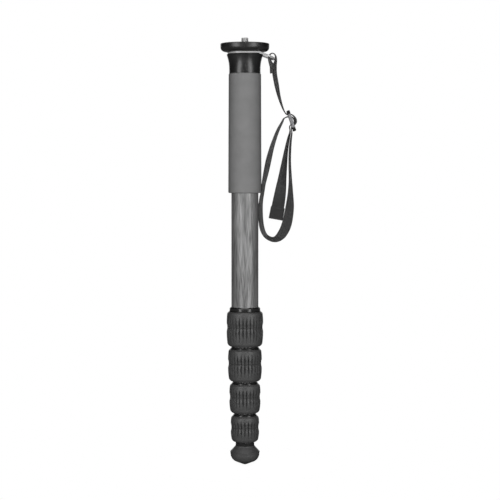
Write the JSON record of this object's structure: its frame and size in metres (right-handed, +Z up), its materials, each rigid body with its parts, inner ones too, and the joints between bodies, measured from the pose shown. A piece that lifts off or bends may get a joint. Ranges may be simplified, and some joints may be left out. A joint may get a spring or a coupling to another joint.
{
  "type": "camera monopod",
  "caption": "Telescoping camera monopod with twist locks, foam hand grip, camera plate with a screw, wrist strap on a swivelling wire ring and a mushroom rubber foot.",
  "frame": {"origin": "tip of the rubber foot, on the monopod's axis", "axes": "+Z up along the tubes to the camera screw, +X towards the side where the wrist strap hangs, folded as in the picture"},
  "size_m": [0.1012, 0.0648, 0.5693],
  "materials": {
    "carbon": "clear-coated carbon fibre",
    "black_metal": "black anodised, satin to gloss",
    "stud_steel": "machined steel",
    "screw_steel": "blackened steel",
    "ring_wire": "polished wire",
    "grip_rubber": "matte rubber",
    "pad_rubber": "matte rubber",
    "foot_rubber": "matte rubber",
    "foam": "smooth closed-cell foam",
    "webbing": "woven nylon",
    "slider_metal": "satin black paint",
    "collet_plastic": "moulded nylon",
    "shim_plastic": "moulded nylon",
    "seal_rubber": "rubber"
  },
  "bodies": {
    "upper_section": {"camera_stud": "stud_steel", "friction_pad": "pad_rubber", "camera_plate": "black_metal", "plate_screws": "screw_steel", "top_collar": "black_metal", "foam_grip": "foam", "tube_1": "carbon", "ferrule_1": "black_metal"},
    "strap_ring_wire": {"strap_ring": "ring_wire"},
    "strap": {"wrist_strap": "webbing", "strap_slider": "slider_metal"},
    "section_2": {"tube_2": "carbon", "guide_shims_2": "shim_plastic", "ferrule_2": "black_metal"},
    "section_3": {"tube_3": "carbon", "guide_shims_3": "shim_plastic", "ferrule_3": "black_metal"},
    "section_4": {"tube_4": "carbon", "guide_shims_4": "shim_plastic", "ferrule_4": "black_metal"},
    "section_5": {"tube_5": "carbon", "guide_shims_5": "shim_plastic", "foot_ferrule": "black_metal", "foot_stud": "stud_steel", "rubber_foot": "foot_rubber"},
    "lock_collet_1": {"collet_1": "collet_plastic"},
    "lock_1": {"lock_nut_1": "black_metal", "nut_grip_1": "grip_rubber", "dust_seal_1": "seal_rubber"},
    "lock_collet_2": {"collet_2": "collet_plastic"},
    "lock_2": {"lock_nut_2": "black_metal", "nut_grip_2": "grip_rubber", "dust_seal_2": "seal_rubber"},
    "lock_collet_3": {"collet_3": "collet_plastic"},
    "lock_3": {"lock_nut_3": "black_metal", "nut_grip_3": "grip_rubber", "dust_seal_3": "seal_rubber"},
    "lock_collet_4": {"collet_4": "collet_plastic"},
    "lock_4": {"lock_nut_4": "black_metal", "nut_grip_4": "grip_rubber", "dust_seal_4": "seal_rubber"}
  },
  "joints": [
    {"name": "ring_swivel", "type": "hinge", "parent": "upper_section", "child": "strap_ring_wire", "pos_m": [0, 0, 0.5492], "axis": [0, 0, 1], "continuous": true},
    {"name": "strap_swing", "type": "hinge", "parent": "strap_ring_wire", "child": "strap", "pos_m": [0.0386, 0, 0.5415], "axis": [0, -1, 0], "range_deg": [0, 90]},
    {"name": "section_slide_2", "type": "slide", "parent": "upper_section", "child": "section_2", "axis": [0, 0, -1], "range_m": [0, 0.278]},
    {"name": "lock_travel_1", "type": "slide", "parent": "upper_section", "child": "lock_collet_1", "axis": [0, 0, -1], "range_m": [0, 0.0005]},
    {"name": "lock_twist_1", "type": "hinge", "parent": "lock_collet_1", "child": "lock_1", "pos_m": [0, 0, 0.159], "axis": [0, 0, -1], "range_deg": [0, 120]},
    {"name": "section_slide_3", "type": "slide", "parent": "section_2", "child": "section_3", "axis": [0, 0, -1], "range_m": [0, 0.3228]},
    {"name": "lock_travel_2", "type": "slide", "parent": "section_2", "child": "lock_collet_2", "axis": [0, 0, -1], "range_m": [0, 0.0005]},
    {"name": "lock_twist_2", "type": "hinge", "parent": "lock_collet_2", "child": "lock_2", "pos_m": [0, 0, 0.1122], "axis": [0, 0, -1], "range_deg": [0, 120]},
    {"name": "section_slide_4", "type": "slide", "parent": "section_3", "child": "section_4", "axis": [0, 0, -1], "range_m": [0, 0.3636]},
    {"name": "lock_travel_3", "type": "slide", "parent": "section_3", "child": "lock_collet_3", "axis": [0, 0, -1], "range_m": [0, 0.0005]},
    {"name": "lock_twist_3", "type": "hinge", "parent": "lock_collet_3", "child": "lock_3", "pos_m": [0, 0, 0.0694], "axis": [0, 0, -1], "range_deg": [0, 120]},
    {"name": "section_slide_5", "type": "slide", "parent": "section_4", "child": "section_5", "axis": [0, 0, -1], "range_m": [0, 0.4004]},
    {"name": "lock_travel_4", "type": "slide", "parent": "section_4", "child": "lock_collet_4", "axis": [0, 0, -1], "range_m": [0, 0.0005]},
    {"name": "lock_twist_4", "type": "hinge", "parent": "lock_collet_4", "child": "lock_4", "pos_m": [0, 0, 0.0306], "axis": [0, 0, -1], "range_deg": [0, 120]}
  ],
  "couplings": [
    {"joint": "lock_twist_1", "follows": "lock_travel_1", "rad_per_m": 4188.8},
    {"joint": "lock_twist_2", "follows": "lock_travel_2", "rad_per_m": 4188.8},
    {"joint": "lock_twist_3", "follows": "lock_travel_3", "rad_per_m": 4188.8},
    {"joint": "lock_twist_4", "follows": "lock_travel_4", "rad_per_m": 4188.8}
  ]
}
